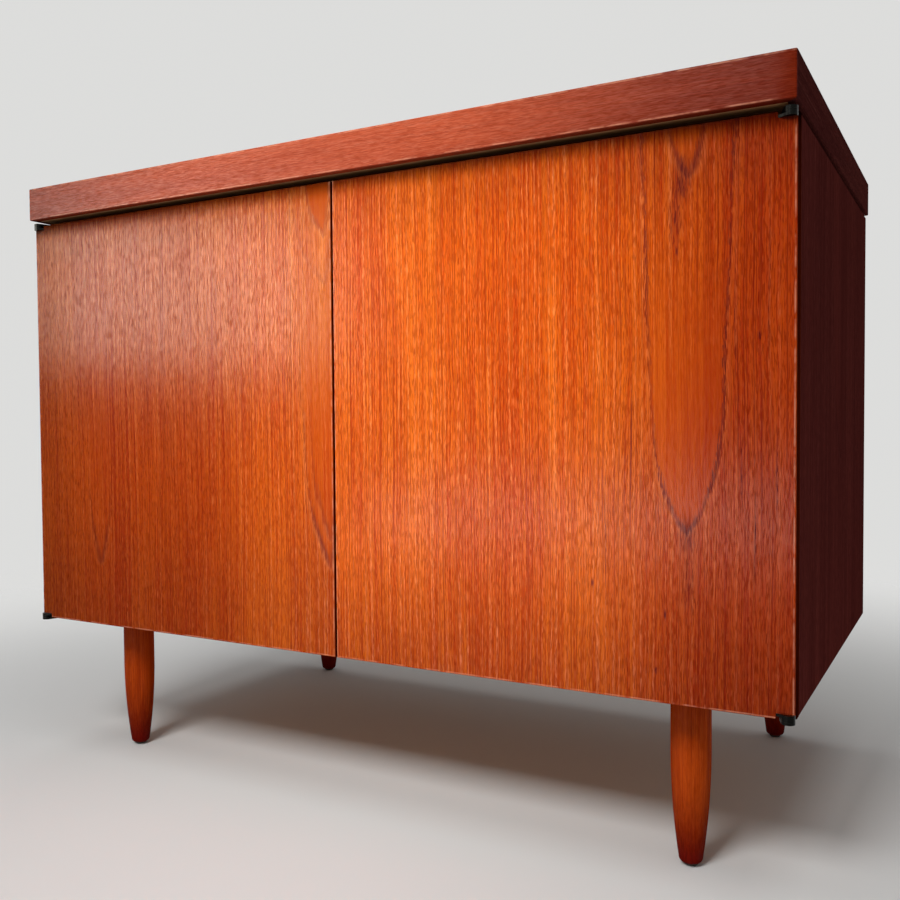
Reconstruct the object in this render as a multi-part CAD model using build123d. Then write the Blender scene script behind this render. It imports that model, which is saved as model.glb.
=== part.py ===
from build123d import *
import os
from math import cos, radians, sin, tan

# A teak sewing table: a cabinet with two doors on turned legs, a hinged lid over a work deck,
# and a machine platform that rises to an opening in the deck on parallel arms.
# Millimetres. +X is to the right seen from the front, +Y to the back, +Z up.
# The origin is on the floor, under the centre of the lid.
# The platform is drawn lowered, with the lid and both doors closed.

# Cabinet
overall_height = 760.0
cabinet_width = 988.0
panel_thickness = 18.0
housing_depth = 6.0  # how far the floor, deck and partition are let into what holds them
back_thickness = 6.0
back_groove = 8.0  # how far the back panel is let into each side panel
edge_round = 1.2

# Lid
lid_depth = 559.0
lid_thickness = 42.0
lid_gap = 6.5  # shadow gap between the lid and the cabinet
lid_side_overhang = 1.0
lid_front_overhang = 9.0  # past the faces of the doors
lid_back_overhang = 20.0  # past the back panel
lid_board_thickness = 16.0
lid_lipping = 10.0
lid_corner_round = 2.0
lid_batten_width = 40.0
lid_pad_size = 14.0
lid_pad_inset = 4.0  # from the front edge of the deck
lid_pad_middle = 40.0  # from the middle of the table to the inner pads
lid_pad_side = 31.0  # from the side panels to the outer pads
rest_clearance = 0.1  # between a pad and what closes on it

# Lid hinges
lid_hinge_inset = 164.0  # from the cabinet's side to the middle of a hinge
lid_hinge_width = 80.0
lid_hinge_reach = 30.0  # from the knuckle to the far edge of a leaf
lid_leaf_thickness = 2.2
lid_knuckle_clearance = 0.4
lid_knuckle_count = 3
lid_knuckle_spacing = 0.4
lid_pin_radius = 1.4

# Doors
door_thickness = 18.0
door_back_gap = 2.0  # between a door and the cabinet's front edges
door_centre_gap = 2.0
door_end_clearance = 0.4  # above and below a door, under the hinge arms
door_pad_size = 7.0
door_pad_margin = 60.0  # from the top and bottom of the doors

# Pivot hinges of the doors
eye_radius = 6.0
pivot_inset = 6.0  # from a door's outer edge
pivot_depth = 1.0  # behind a door's face
hinge_pin_radius = 2.5
hinge_strip_width = 12.0
hinge_strip_thickness = 2.5
door_leaf_length = 62.0
hinge_arm_length = 75.0
notch_depth = 5.5
notch_clearance = 1.0
running_fit = 0.06  # radial, of every pin in the piece that turns on it
stacking_gap = 0.15  # between parts that turn on each other, along the pin

# Catches of the doors
catch_width = 46.0
catch_depth = 16.0
catch_height = 12.0
catch_place = 45.0  # from the middle to the middle of a catch
pole_width = 36.0
pole_thickness = 2.0
strike_thickness = 1.2
strike_width = 40.0
strike_height = 14.0
catch_air = 0.2

# Legs
leg_height = 178.0  # floor to the underside of the cabinet
leg_radius = 20.0
leg_taper_start = 117.0
foot_radius = 12.0
foot_rounding = 5.0
leg_side_inset = 110.0  # from the cabinet's side, front and back edges to the middle of a leg
leg_front_inset = 47.5
leg_back_inset = 24.5
glide_radius = 7.5
glide_height = 3.0
leg_plate_size = 44.0
leg_plate_thickness = 2.5

# Shelf and spool rack of the right half
shelf_thickness = 16.0
shelf_room = 228.0  # from the cabinet's floor to the shelf
shelf_setback = 70.0
shelf_clearance = 0.5
shelf_pin_radius = 2.5
shelf_pin_length = 20.0
shelf_pin_margin = 50.0
rack_width = 360.0
rack_height = 140.0
rack_thickness = 10.0
rack_drop = 50.0  # from the deck to the top of the rack
peg_radius = 2.5
peg_length = 46.0
peg_tilt = 15.0
peg_column_count = 3
peg_row_count = 2
peg_pitch = 80.0

# Machine opening, platform and lift of the left half
opening_side_margin = 18.5  # from the side panel and the partition
opening_front_margin = 115.5  # from the deck's front edge
opening_depth = 240.0
opening_corner = 15.0
platform_clearance = 8.0  # between the platform and the opening's edges
platform_thickness = 18.0
platform_corner = 12.0
bed_drop = 72.0  # from the deck's face down to the raised platform
lift_floor_room = 67.0  # under the brackets of the lowered platform
lift_arm_thickness = 4.0
lift_arm_radius = 10.0
lift_swing = 45.0  # below and above level
lift_pivot_spacing = 70.0
lift_plate_thickness = 2.5
lift_plate_margin = 22.0
lift_layer_gap = 2.0
lift_pin_radius = 4.0
stop_air = 0.3
stop_distance = 25.0  # from the upper pivot along the upper arm to the stop
tube_radius = 9.0
tube_wall = 1.5
bracket_thickness = 3.0
bracket_width = 40.0
bracket_flange = 70.0
bracket_drop = 20.0  # from the platform to the upper pivot
bracket_tail = 14.0  # below the lower pivot
bracket_setback = 38.0  # from the platform's middle back to its pivots
lock_radius = 3.0
lock_fit = 0.3
lock_travel = 3.5
lock_shank = 22.0
lock_air = 0.4
lock_plate_size = 20.0
lock_knob_radius = 9.0
lock_knob_length = 8.0

# Levels and faces worked out from these
lid_width = cabinet_width + 2 * lid_side_overhang
lid_bottom = overall_height - lid_thickness
cabinet_top = lid_bottom - lid_gap
cabinet_bottom = leg_height
cabinet_middle = (cabinet_top + cabinet_bottom) / 2
deck_bottom = cabinet_top - panel_thickness
floor_top = cabinet_bottom + panel_thickness
side_outer = cabinet_width / 2
side_inner = side_outer - panel_thickness
door_front = -lid_depth / 2 + lid_front_overhang
door_back = door_front + door_thickness
door_top = cabinet_top - door_end_clearance
door_bottom = cabinet_bottom + door_end_clearance
cabinet_front = door_back + door_back_gap
cabinet_back = lid_depth / 2 - lid_back_overhang
back_face = cabinet_back - back_thickness
partition_face = panel_thickness / 2
half_middle = (side_inner + partition_face) / 2
shelf_height = floor_top + shelf_room + shelf_thickness
leg_top = cabinet_bottom - leg_plate_thickness
opening_width = side_inner - partition_face - 2 * opening_side_margin
opening_y = cabinet_front + opening_front_margin + opening_depth / 2

pivot_x = side_outer - pivot_inset
pivot_y = door_front + pivot_depth
lid_knuckle_radius = lid_gap / 2 - lid_knuckle_clearance
lid_pivot_y = cabinet_back + lid_knuckle_radius + lid_knuckle_clearance
lid_pivot_z = cabinet_top + lid_gap / 2

# Layers of the lift, from the left side panel inwards
lift_plate_face = -side_inner + lift_plate_thickness
arm_outer = lift_plate_face + lift_layer_gap
arm_inner = arm_outer + lift_arm_thickness
bracket_outer = arm_inner + lift_layer_gap
bracket_inner = bracket_outer + bracket_thickness

# Pivots of the lift as it is drawn, lowered
raised_pivot_z = cabinet_top - bed_drop - platform_thickness - bracket_drop
platform_pivot_z = floor_top + lift_floor_room + bracket_tail + lift_pivot_spacing
platform_pivot_y = opening_y + bracket_setback
platform_underside = platform_pivot_z + bracket_drop
lift_rise = (raised_pivot_z - platform_pivot_z) / 2
lift_run = lift_rise / tan(radians(lift_swing))
lift_pivot_y = platform_pivot_y + lift_run
upper_pivot_z = platform_pivot_z + lift_rise
lower_pivot_z = upper_pivot_z - lift_pivot_spacing
lock_z = platform_pivot_z - lift_pivot_spacing / 2
lock_raised_z = lock_z + 2 * lift_rise


def block(x, y, z):
    """A box between three pairs of limits."""
    spans = (x, y, z)
    middle = [(low + high) / 2 for low, high in spans]
    return Pos(*middle) * Box(*[high - low for low, high in spans])


def rod(start, radius, length, direction):
    """A round bar from a point along a direction."""
    plane = Plane(origin=start, z_dir=direction)
    return extrude(plane * Circle(radius), amount=length)


def group(solids):
    """Separate solids that share one node."""
    return Compound(children=[piece for solid in solids for piece in solid.solids()])


def to_left(shape):
    """The same piece on the left half of the table."""
    return mirror(shape, about=Plane.YZ)


def to_bottom(shape):
    """The same piece at the bottom of the cabinet."""
    return mirror(shape, about=Plane.XY.offset(cabinet_middle))


def across_left_half(shape):
    """The same piece at the other side of the left half."""
    return mirror(shape, about=Plane.YZ.offset(-half_middle))


def spread(low, high, count):
    """Evenly spaced places from low to high."""
    return [low + (high - low) * step / (count - 1) for step in range(count)]


def rounded(shape, axis, end, radius):
    """Round all edges of the face at one end of an axis: 0 for the low end, -1 for the high one."""
    return fillet(shape.edges().group_by(axis)[end], radius)


def shelf_limits():
    """The shelf's limits in X and Y."""
    x = (partition_face + shelf_clearance, side_inner - shelf_clearance)
    y = (cabinet_front + shelf_setback, back_face - shelf_clearance)
    return x, y


def shelf_pins():
    """Four pins under the shelf, half in the panels on each side."""
    z = shelf_height - shelf_thickness - shelf_pin_radius
    x, y = shelf_limits()
    pieces = []
    for place in (y[0] + shelf_pin_margin, y[1] - shelf_pin_margin):
        for face, inwards in ((side_inner, -1), (partition_face, 1)):
            start = (face - inwards * shelf_pin_length / 2, place, z)
            pieces.append(rod(start, shelf_pin_radius, shelf_pin_length, (inwards, 0, 0)))
    return group(pieces)


def cabinet():
    """Panels of the cabinet, the floor, deck and partition let into what holds them."""
    pins = shelf_pins()
    upright = (cabinet_bottom, cabinet_top)
    deep = (cabinet_front, back_face)
    back_rebate = (back_face, cabinet_back)
    panel_end = side_inner + housing_depth

    floor = block((-panel_end, panel_end), deep, (cabinet_bottom, floor_top))
    deck = block((-panel_end, panel_end), deep, (deck_bottom, cabinet_top))
    partition_ends = (floor_top - housing_depth, deck_bottom + housing_depth)
    partition = block((-partition_face, partition_face), deep, partition_ends)
    side = block((side_inner, side_outer), (cabinet_front, cabinet_back), upright)
    side = rounded(side, Axis.X, -1, edge_round) - floor - deck
    side -= block((side_inner, side_inner + back_groove), back_rebate, upright)
    opening = RectangleRounded(opening_width, opening_depth, opening_corner)
    cut = extrude(Pos(-half_middle, opening_y, deck_bottom) * opening, amount=panel_thickness)
    back_edge = side_inner + back_groove
    x, y = shelf_limits()
    return {
        "right_side_panel": side - pins,
        "left_side_panel": to_left(side),
        "bottom_panel": floor - partition,
        "work_deck": deck - partition - cut,
        "centre_partition": partition - pins,
        "back_panel": block((-back_edge, back_edge), back_rebate, upright),
        "shelf": block(x, y, (shelf_height - shelf_thickness, shelf_height)),
        "shelf_pins": pins,
    }


def leg_places():
    """Name and plan position of each leg."""
    x = side_outer - leg_side_inset
    for depth, y in (("front", cabinet_front + leg_front_inset), ("back", cabinet_back - leg_back_inset)):
        yield f"{depth}_left_leg", -x, y
        yield f"{depth}_right_leg", x, y


def at_each_leg(shape):
    """Copies of one piece on the axis of every leg."""
    return group([Pos(x, y, 0) * shape for _, x, y in leg_places()])


def legs():
    """Turned legs, straight at the top and then narrowing in one long arc to a round foot."""
    foot_end = glide_height + foot_rounding
    foot_flat = foot_radius - foot_rounding
    shoulder = (leg_radius, leg_taper_start)
    outline = Curve() + [
        Line((0, glide_height), (foot_flat, glide_height)),
        RadiusArc((foot_flat, glide_height), (foot_radius, foot_end), -foot_rounding),
        TangentArc(shoulder, (foot_radius, foot_end), tangent=(0, -1)),
        Line(shoulder, (leg_radius, leg_top)),
        Line((leg_radius, leg_top), (0, leg_top)),
        Line((0, leg_top), (0, glide_height)),
    ]
    leg = revolve(make_face(Plane.XZ * outline), Axis.Z)
    glide = rod((0, 0, 0), glide_radius, glide_height, (0, 0, 1))
    glide = chamfer(glide.edges().group_by(Axis.Z)[0], glide_height / 2)
    half_plate = leg_plate_size / 2
    plate = block((-half_plate, half_plate), (-half_plate, half_plate), (leg_top, cabinet_bottom))
    nodes = {name: Pos(x, y, 0) * leg for name, x, y in leg_places()}
    return nodes | {
        "leg_plates": at_each_leg(plate),
        "foot_glides": at_each_leg(glide),
    }


def hinge_strip(length, aside, room=0.0):
    """Plan of a flat strip from an eye at the origin along +Y, its middle aside in X, with room around it."""
    start = abs(aside) + eye_radius
    bend = Pos(aside, start) * Circle(hinge_strip_width / 2 + room)
    crank = make_hull(Circle(eye_radius + room).edges() + bend.edges())
    strip = Rectangle(hinge_strip_width + 2 * room, length + room - start, align=(Align.CENTER, Align.MIN))
    return crank + Pos(aside, start) * strip


def door_leaf_plan(room=0.0):
    """Plan of the leaf that is let into the right door's edge, with room around it."""
    middle = (door_front + door_back) / 2
    return Pos(pivot_x, pivot_y) * Rot(0, 0, 90) * hinge_strip(door_leaf_length, middle - pivot_y, room)


def door_hinges():
    """Pieces of the top right pivot hinge: the cabinet's arm, the door's leaf with its barrel, and the pin."""
    side_middle = (side_inner + side_outer) / 2
    arm_plan = Pos(pivot_x, pivot_y) * hinge_strip(hinge_arm_length, side_middle - pivot_x)
    leaf_bottom = door_top - notch_depth
    arm_top = cabinet_top + hinge_strip_thickness
    barrel_height = cabinet_top - stacking_gap - leaf_bottom
    pin_bottom = leaf_bottom + stacking_gap
    foot = (pivot_x, pivot_y, leaf_bottom)
    pin = rod((pivot_x, pivot_y, pin_bottom), hinge_pin_radius, arm_top - pin_bottom, (0, 0, 1))
    leaf = extrude(Pos(0, 0, leaf_bottom) * door_leaf_plan(), amount=hinge_strip_thickness)
    leaf += rod(foot, eye_radius, barrel_height, (0, 0, 1))
    leaf -= rod(foot, hinge_pin_radius + running_fit, barrel_height, (0, 0, 1))
    arm = extrude(Pos(0, 0, cabinet_top) * arm_plan, amount=hinge_strip_thickness)
    return {"hinge_arm": arm - pin, "hinge_leaf": leaf, "hinge_pin": pin}


def door_cuts():
    """What the top right hinge takes out of the right door: the open corner and the leaf's seat."""
    floor = door_top - notch_depth
    reach = eye_radius + notch_clearance
    corner = block((pivot_x - reach, pivot_x + reach), (pivot_y - reach, pivot_y + reach), (floor, cabinet_top))
    seat = extrude(Pos(0, 0, floor) * door_leaf_plan(rest_clearance), amount=cabinet_top - floor)
    return corner + seat


def doors():
    """Both doors with their hinges, catches and strike plates."""
    door = block((door_centre_gap / 2, side_outer), (door_front, door_back), (door_bottom, door_top))
    door = rounded(door, Axis.Y, 0, edge_round)
    cuts = door_cuts()
    door = door - cuts - to_bottom(cuts)
    nodes = {"right_door": door, "left_door": to_left(door)}

    hinge = door_hinges()
    for piece in ("hinge_arm", "hinge_leaf"):
        right = {"top": hinge[piece], "bottom": to_bottom(hinge[piece])}
        for level, shape in right.items():
            nodes[f"right_{level}_{piece}"] = shape
            nodes[f"left_{level}_{piece}"] = to_left(shape)
    right_pins = [hinge["hinge_pin"], to_bottom(hinge["hinge_pin"])]
    nodes["door_hinge_pins"] = group(right_pins + [to_left(pin) for pin in right_pins])

    nodes |= door_catches()
    return nodes


def door_catches():
    """Magnet catches under the deck, with strike plates on the doors and pads between them."""
    catch_middle = deck_bottom - catch_height / 2
    body_x = (catch_place - catch_width / 2, catch_place + catch_width / 2)
    pole_x = (catch_place - pole_width / 2, catch_place + pole_width / 2)
    pole_front = door_back + strike_thickness + catch_air
    body = block(body_x, (cabinet_front, cabinet_front + catch_depth), (deck_bottom - catch_height, deck_bottom))
    for z in (catch_middle - pole_thickness * 1.5, catch_middle + pole_thickness * 1.5):
        body += block(pole_x, (pole_front, cabinet_front), (z - pole_thickness / 2, z + pole_thickness / 2))
    strike_x = (catch_place - strike_width / 2, catch_place + strike_width / 2)
    strike_z = (catch_middle - strike_height / 2, catch_middle + strike_height / 2)
    right_strike = block(strike_x, (door_back, door_back + strike_thickness), strike_z)

    pads = []
    pad_y = (door_back + rest_clearance, cabinet_front)
    half = door_pad_size / 2
    for z in (door_bottom + door_pad_margin, door_top - door_pad_margin):
        right = block((partition_face - door_pad_size, partition_face), pad_y, (z - half, z + half))
        pads += [right, to_left(right)]
    return {
        "magnet_catches": group([body, to_left(body)]),
        "right_strike_plate": right_strike,
        "left_strike_plate": to_left(right_strike),
        "door_pads": group(pads),
    }


def spool_rack():
    """A board with slanted pegs on the inside of the right door."""
    middle = deck_bottom - rack_drop - rack_height / 2
    board = block(
        (half_middle - rack_width / 2, half_middle + rack_width / 2),
        (door_back, door_back + rack_thickness),
        (middle - rack_height / 2, middle + rack_height / 2),
    )
    slant = (0, cos(radians(peg_tilt)), sin(radians(peg_tilt)))
    half_row = peg_pitch * (peg_column_count - 1) / 2
    half_rise = peg_pitch * (peg_row_count - 1) / 2
    pegs = []
    for x in spread(half_middle - half_row, half_middle + half_row, peg_column_count):
        for z in spread(middle - half_rise, middle + half_rise, peg_row_count):
            start = (x, door_back + rack_thickness / 2, z)
            pegs.append(rod(start, peg_radius, peg_length, slant))
    pegs = group(pegs)
    return {"spool_rack": board - pegs, "spool_pegs": pegs}


def lid():
    """Board, mitred lippings and battens of the lid, with the pads that it closes on."""
    ring = RectangleRounded(lid_width, lid_depth, lid_corner_round)
    ring -= Rectangle(lid_width - 2 * lid_lipping, lid_depth - 2 * lid_lipping)
    frame = extrude(Pos(0, 0, lid_bottom) * ring, amount=lid_thickness)
    for end in (0, -1):
        outer = frame.faces().group_by(Axis.Z)[end][0].outer_wire()
        frame = fillet(outer.edges(), edge_round)

    half_w, half_d = lid_width / 2, lid_depth / 2
    front = Polygon((-half_w, -half_d), (half_w, -half_d), (half_w - half_d, 0), (half_d - half_w, 0), align=None)
    right = Polygon((half_w, -half_d), (half_w, half_d), (half_w - half_d, 0), align=None)
    front_piece = frame & extrude(Pos(0, 0, lid_bottom) * front, amount=lid_thickness)
    right_piece = frame & extrude(Pos(0, 0, lid_bottom) * right, amount=lid_thickness)

    inner_x, inner_y = half_w - lid_lipping, half_d - lid_lipping
    board_bottom = overall_height - lid_board_thickness
    batten_z = (lid_bottom, board_bottom)
    batten_x, batten_y = inner_x - lid_batten_width, inner_y - lid_batten_width
    front_batten = block((-inner_x, inner_x), (-inner_y, -batten_y), batten_z)
    right_batten = block((batten_x, inner_x), (-batten_y, batten_y), batten_z)
    back_batten = mirror(front_batten, about=Plane.XZ)

    pads = []
    half = lid_pad_size / 2
    pad_y = (cabinet_front + lid_pad_inset, cabinet_front + lid_pad_inset + lid_pad_size)
    for x in (lid_pad_middle, side_inner - lid_pad_side):
        right_pad = block((x - half, x + half), pad_y, (cabinet_top, lid_bottom - rest_clearance))
        pads += [right_pad, to_left(right_pad)]
    return {
        "lid_board": block((-inner_x, inner_x), (-inner_y, inner_y), (board_bottom, overall_height)),
        "lid_front_lipping": front_piece,
        "lid_back_lipping": mirror(front_piece, about=Plane.XZ),
        "lid_right_lipping": right_piece,
        "lid_left_lipping": to_left(right_piece),
        "lid_battens": group([front_batten, back_batten, right_batten, to_left(right_batten)]),
        "lid_pads": group(pads),
    }


def lid_hinges():
    """Two butt hinges in the gap under the lid, with their knuckles behind the cabinet."""
    pitch = lid_hinge_width / lid_knuckle_count
    left_end = side_outer - lid_hinge_inset - lid_hinge_width / 2
    leaf_y = (lid_pivot_y - lid_hinge_reach, lid_pivot_y)
    levels = {
        "base": (cabinet_top, cabinet_top + lid_leaf_thickness),
        "flap": (lid_bottom - lid_leaf_thickness, lid_bottom),
    }
    bores = {"base": lid_pin_radius, "flap": lid_pin_radius + running_fit}
    turning_room = lid_knuckle_radius + lid_knuckle_clearance
    leaves = {}
    for name, z in levels.items():
        leaves[name] = block((left_end, left_end + lid_hinge_width), leaf_y, z)
    for step in range(lid_knuckle_count):
        name, other = ("base", "flap") if step % 2 == 0 else ("flap", "base")
        x = left_end + step * pitch
        end = (x, lid_pivot_y, lid_pivot_z)
        span = (x, x + pitch)
        gap_end = (x + lid_knuckle_spacing / 2, lid_pivot_y, lid_pivot_z)
        leaves[other] -= rod(end, turning_room, pitch, (1, 0, 0))
        leaves[other] -= block(span, (lid_pivot_y - turning_room, lid_pivot_y), levels[other])
        leaves[name] += rod(gap_end, lid_knuckle_radius, pitch - lid_knuckle_spacing, (1, 0, 0))
    pin = rod((left_end, lid_pivot_y, lid_pivot_z), lid_pin_radius, lid_hinge_width, (1, 0, 0))
    nodes = {}
    for name, leaf in leaves.items():
        bored = leaf - rod((left_end, lid_pivot_y, lid_pivot_z), bores[name], lid_hinge_width, (1, 0, 0))
        nodes[f"right_lid_hinge_{name}"] = bored
        nodes[f"left_lid_hinge_{name}"] = to_left(bored)
    nodes["lid_hinge_pins"] = group([pin, to_left(pin)])
    return nodes


def lift_plates():
    """Plates on both sides of the left half, with pivot studs for the arms and a stop under each upper arm."""
    height = lift_pivot_spacing + 2 * lift_plate_margin
    middle = (-side_inner, lift_pivot_y, (upper_pivot_z + lower_pivot_z) / 2)
    outline = RectangleRounded(2 * lift_plate_margin, height, lift_plate_margin / 2)
    plate = extrude(Plane(origin=middle, x_dir=(0, 1, 0), z_dir=(1, 0, 0)) * outline, amount=lift_plate_thickness)
    below, forward = sin(radians(lift_swing)), cos(radians(lift_swing))
    aside = lift_arm_radius + lift_pin_radius + stop_air
    stop_y = lift_pivot_y - stop_distance * forward + aside * below
    stop_z = upper_pivot_z - stop_distance * below - aside * forward
    studs = ((lift_pivot_y, upper_pivot_z), (lift_pivot_y, lower_pivot_z), (stop_y, stop_z))
    for y, z in studs:
        plate += rod((lift_plate_face, y, z), lift_pin_radius, arm_inner - lift_plate_face, (1, 0, 0))
    return {"left_lift_plate": plate, "right_lift_plate": across_left_half(plate)}


def lift_arm(pivot_z):
    """One arm on the left, from its pivot on the plate down to its pivot on the platform."""
    far_y, far_z = lift_pivot_y - lift_run, pivot_z - lift_rise
    face = Plane(origin=(arm_outer, 0, 0), x_dir=(0, 1, 0), z_dir=(1, 0, 0))
    ends = [Pos(y, z) * Circle(lift_arm_radius) for y, z in ((lift_pivot_y, pivot_z), (far_y, far_z))]
    outline = make_hull(ends[0].edges() + ends[1].edges())
    for y, z in ((lift_pivot_y, pivot_z), (far_y, far_z)):
        outline -= Pos(y, z) * Circle(lift_pin_radius + running_fit)
    return extrude(face * outline, amount=lift_arm_thickness)


def lift():
    """Plates, arms and the tube that makes the upper arms turn together."""
    nodes = lift_plates()
    upper, lower = lift_arm(upper_pivot_z), lift_arm(lower_pivot_z)
    nodes["upper_lift_arms"] = group([upper, across_left_half(upper)])
    nodes["lower_lift_arms"] = group([lower, across_left_half(lower)])
    length = 2 * (-half_middle - arm_inner)
    tube_end = (arm_inner, lift_pivot_y, upper_pivot_z)
    tube = rod(tube_end, tube_radius, length, (1, 0, 0))
    nodes["lift_torsion_tube"] = tube - rod(tube_end, tube_radius - tube_wall, length, (1, 0, 0))
    return nodes


def platform():
    """The machine platform with its brackets, and the plunger that locks it when it is raised."""
    platform_size = [span - 2 * platform_clearance for span in (opening_width, opening_depth)]
    outline = RectangleRounded(*platform_size, platform_corner)
    board = extrude(Pos(-half_middle, opening_y, platform_underside) * outline, amount=platform_thickness)

    bottom = platform_pivot_z - lift_pivot_spacing - bracket_tail
    start = platform_pivot_y - bracket_width / 2
    profile = Polyline(
        (bracket_outer, bottom),
        (bracket_outer, platform_underside),
        (bracket_outer + bracket_flange, platform_underside),
        (bracket_outer + bracket_flange, platform_underside - bracket_thickness),
        (bracket_inner, platform_underside - bracket_thickness),
        (bracket_inner, bottom),
        close=True,
    )
    end_plane = Plane(origin=(0, start, 0), x_dir=(1, 0, 0), z_dir=(0, -1, 0))
    bracket = extrude(end_plane * make_face(profile), amount=-bracket_width)
    corners = bracket.edges().filter_by(Axis.X).group_by(Axis.Z)[0]
    bracket = fillet(corners, bracket_tail)
    for z in (platform_pivot_z, platform_pivot_z - lift_pivot_spacing):
        bracket += rod((bracket_outer, platform_pivot_y, z), lift_pin_radius, bracket_outer - arm_outer, (-1, 0, 0))

    lock_face = -side_inner + lock_travel + rest_clearance
    tip = (lock_face + lock_air, platform_pivot_y, lock_z)
    shank = rod(tip, lock_radius, lock_shank, (1, 0, 0))
    knob = rod((tip[0] + lock_shank, tip[1], tip[2]), lock_knob_radius, lock_knob_length, (1, 0, 0))
    knob = chamfer(knob.edges().group_by(Axis.X)[-1], edge_round)
    half = lock_plate_size / 2
    plate = block(
        (-side_inner, lock_face),
        (platform_pivot_y - half, platform_pivot_y + half),
        (lock_raised_z - half, lock_raised_z + half),
    )
    bolt_hole = rod((-side_inner, platform_pivot_y, lock_raised_z), lock_radius + lock_fit, lock_shank, (1, 0, 0))
    hole = rod(tip, lock_radius + running_fit, lock_shank, (1, 0, 0))
    return {
        "machine_platform": board,
        "platform_brackets": group([bracket - hole, across_left_half(bracket)]),
        "lift_lock_plunger": shank + knob,
        "lift_lock_plate": plate - bolt_hole,
    }


def main():
    """Build every piece and write one STEP file for each node."""
    nodes = cabinet() | legs() | doors() | spool_rack() | lid() | lid_hinges() | lift() | platform()
    os.makedirs("parts", exist_ok=True)
    for name, shape in nodes.items():
        export_step(shape, f"parts/{name}.step")
    print(len(nodes), "nodes")


main()
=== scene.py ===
"""Looks of a teak sewing table: finishes, small fastenings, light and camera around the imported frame.

Metres. +X is to the right seen from the front, +Y to the back, +Z up, with the origin on the floor.
"""
import logging
import math
from dataclasses import dataclass, field
from enum import Enum
from typing import Any, Dict, Iterable, List, Optional, Sequence, Tuple, Union

import bmesh
import bpy
from mathutils import Matrix, Vector


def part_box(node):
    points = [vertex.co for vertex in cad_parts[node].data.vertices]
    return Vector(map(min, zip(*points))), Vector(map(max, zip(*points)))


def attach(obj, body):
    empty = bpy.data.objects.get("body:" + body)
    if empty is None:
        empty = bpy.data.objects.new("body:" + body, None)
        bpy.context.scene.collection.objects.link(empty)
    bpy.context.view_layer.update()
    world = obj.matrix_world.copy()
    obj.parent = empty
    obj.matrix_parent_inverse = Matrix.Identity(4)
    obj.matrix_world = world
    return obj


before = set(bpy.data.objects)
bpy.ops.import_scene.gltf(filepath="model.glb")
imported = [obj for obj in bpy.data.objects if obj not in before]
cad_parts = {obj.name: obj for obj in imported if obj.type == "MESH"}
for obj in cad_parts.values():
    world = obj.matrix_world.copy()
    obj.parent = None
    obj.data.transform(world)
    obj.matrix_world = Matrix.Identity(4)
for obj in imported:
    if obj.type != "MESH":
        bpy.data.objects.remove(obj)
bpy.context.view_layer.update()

LOG = logging.getLogger("sewing_table")
MM = 0.001
Colour = Tuple[float, float, float]
Point = Tuple[float, float, float]
Number = Union[float, "Wire"]


class Wire:
    """A socket whose operators add the nodes of an expression."""

    def __init__(self, recipe: "Recipe", socket: Optional[bpy.types.NodeSocket]) -> None:
        """Keep the socket and the recipe that its nodes go into."""
        self.recipe = recipe
        self.socket = socket

    def _math(self, operation: str, *terms: Number) -> "Wire":
        """Add one node of arithmetic.

        Args:
            operation: The name of the operation.
            terms: Its inputs in order.

        Returns:
            The result.
        """
        kind = "ShaderNodeVectorMath" if self.socket.type == "VECTOR" else "ShaderNodeMath"
        return self.recipe.node(kind, {"operation": operation}, dict(enumerate(terms)))

    def __add__(self, other: Number) -> "Wire":
        """Sum."""
        return self._math("ADD", self, other)

    __radd__ = __add__

    def __mul__(self, other: Number) -> "Wire":
        """Product."""
        return self._math("MULTIPLY", self, other)

    __rmul__ = __mul__

    def __sub__(self, other: Number) -> "Wire":
        """Difference."""
        return self._math("SUBTRACT", self, other)

    def __rsub__(self, other: Number) -> "Wire":
        """Difference from a number."""
        return self._math("SUBTRACT", other, self)

    def __pow__(self, other: Number) -> "Wire":
        """Power."""
        return self._math("POWER", self, other)

    def __rpow__(self, other: float) -> "Wire":
        """A number to this power."""
        return self._math("POWER", other, self)

    def __abs__(self) -> "Wire":
        """Size without sign."""
        return self._math("ABSOLUTE", self)

    def least(self, other: Number) -> "Wire":
        """The smaller of two values."""
        return self._math("MINIMUM", self, other)

    def most(self, other: Number) -> "Wire":
        """The larger of two values."""
        return self._math("MAXIMUM", self, other)

    def over(self, edge: Number) -> "Wire":
        """1 where the value is greater than an edge, and 0 elsewhere."""
        return self._math("GREATER_THAN", self, edge)

    def step(self, low: Number, high: Number) -> "Wire":
        """A smooth step from 0 at low to 1 at high.

        Args:
            low: Where the step starts. It may be above high, and then the step falls.
            high: Where it ends.

        Returns:
            The step, from 0 to 1.
        """
        settings = {"interpolation_type": "SMOOTHSTEP"}
        return self.recipe.node("ShaderNodeMapRange", settings, {0: self, 1: low, 2: high})


Tint = Union[Colour, Wire]


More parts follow.
